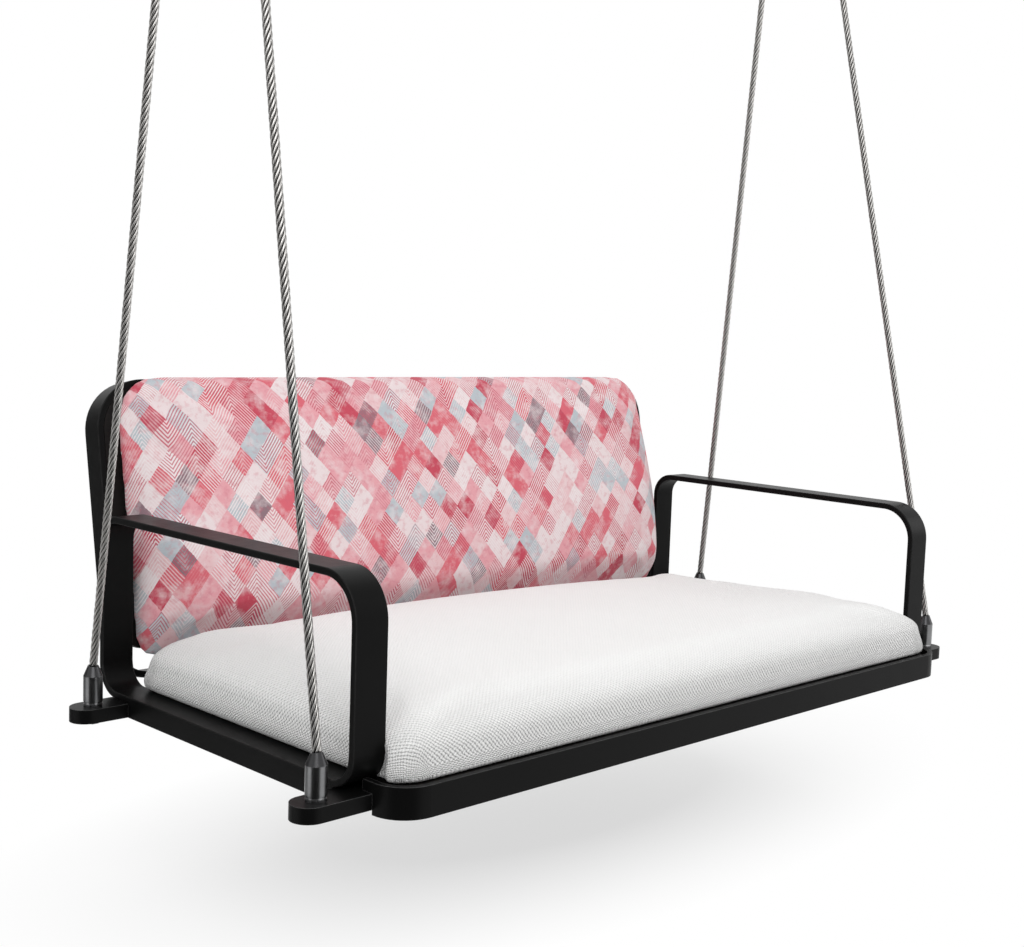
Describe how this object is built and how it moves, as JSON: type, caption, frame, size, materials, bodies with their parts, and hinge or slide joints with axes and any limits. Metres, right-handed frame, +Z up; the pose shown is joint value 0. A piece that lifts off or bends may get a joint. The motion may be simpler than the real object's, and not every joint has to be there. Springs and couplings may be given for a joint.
{
  "type": "swing seat",
  "caption": "Wide hanging swing seat: flat-bar steel frame with loop arms, padded seat and leaning padded back, hung by wire ropes from pivoting ceiling brackets.",
  "frame": {"origin": "ceiling plane, midway between the two ceiling brackets and between their bolt holes", "axes": "+Z up into the ceiling, +X to the sitter's left along the seat's width (right in the picture), -Y towards the seat's front"},
  "size_m": [1.414, 0.7803, 1.47],
  "materials": {
    "frame_steel": "satin black powder coat",
    "wire_rope": "bright stranded stainless wire",
    "ferrule_steel": "dark gunmetal, turned",
    "fastener_steel": "blackened zinc",
    "bush_bronze": "oiled bronze",
    "panel_wood": "black-stained plywood",
    "seat_fabric": "off-white basket weave",
    "back_fabric": "woven cloth with a washed lozenge and hatch print in pinks and greys"
  },
  "bodies": {
    "ceiling": {"ceiling_bracket_left": "frame_steel", "ceiling_bracket_right": "frame_steel", "pivot_pin_left": "fastener_steel", "pivot_pin_right": "fastener_steel", "pivot_nut_left": "fastener_steel", "pivot_nut_right": "fastener_steel"},
    "swing": {"cross_beam_front": "frame_steel", "cross_beam_rear": "frame_steel", "front_apron": "frame_steel", "back_hoop": "frame_steel", "side_beam_left": "frame_steel", "deck_rail_left": "frame_steel", "arm_loop_left": "frame_steel", "back_tie_left": "frame_steel", "hanger_plate_left": "frame_steel", "side_beam_right": "frame_steel", "deck_rail_right": "frame_steel", "arm_loop_right": "frame_steel", "back_tie_right": "frame_steel", "hanger_plate_right": "frame_steel", "back_gusset_1": "frame_steel", "back_gusset_2": "frame_steel", "back_gusset_3": "frame_steel", "back_gusset_4": "frame_steel", "rope_front_left": "wire_rope", "rope_front_right": "wire_rope", "rope_rear_left": "wire_rope", "rope_rear_right": "wire_rope", "ferrule_front_left": "ferrule_steel", "ferrule_front_right": "ferrule_steel", "ferrule_rear_left": "ferrule_steel", "ferrule_rear_right": "ferrule_steel", "fork_front_left": "ferrule_steel", "fork_front_right": "ferrule_steel", "fork_rear_left": "ferrule_steel", "fork_rear_right": "ferrule_steel", "arm_bolt_front_left": "fastener_steel", "arm_bolt_front_right": "fastener_steel", "arm_bolt_rear_left": "fastener_steel", "arm_bolt_rear_right": "fastener_steel", "lug_nut_front_left": "fastener_steel", "lug_nut_front_right": "fastener_steel", "lug_nut_rear_left": "fastener_steel", "lug_nut_rear_right": "fastener_steel", "fork_pin_front_left": "fastener_steel", "fork_pin_front_right": "fastener_steel", "fork_pin_rear_left": "fastener_steel", "fork_pin_rear_right": "fastener_steel", "pivot_bush_left": "bush_bronze", "pivot_bush_right": "bush_bronze", "seat_deck": "panel_wood", "back_board": "panel_wood", "seat_cushion": "seat_fabric", "back_cushion": "back_fabric"}
  },
  "joints": [
    {"name": "swing_pivot", "type": "hinge", "parent": "ceiling", "child": "swing", "pos_m": [0, 0, -0.055], "axis": [1, 0, 0], "range_deg": [-35, 35]}
  ]
}
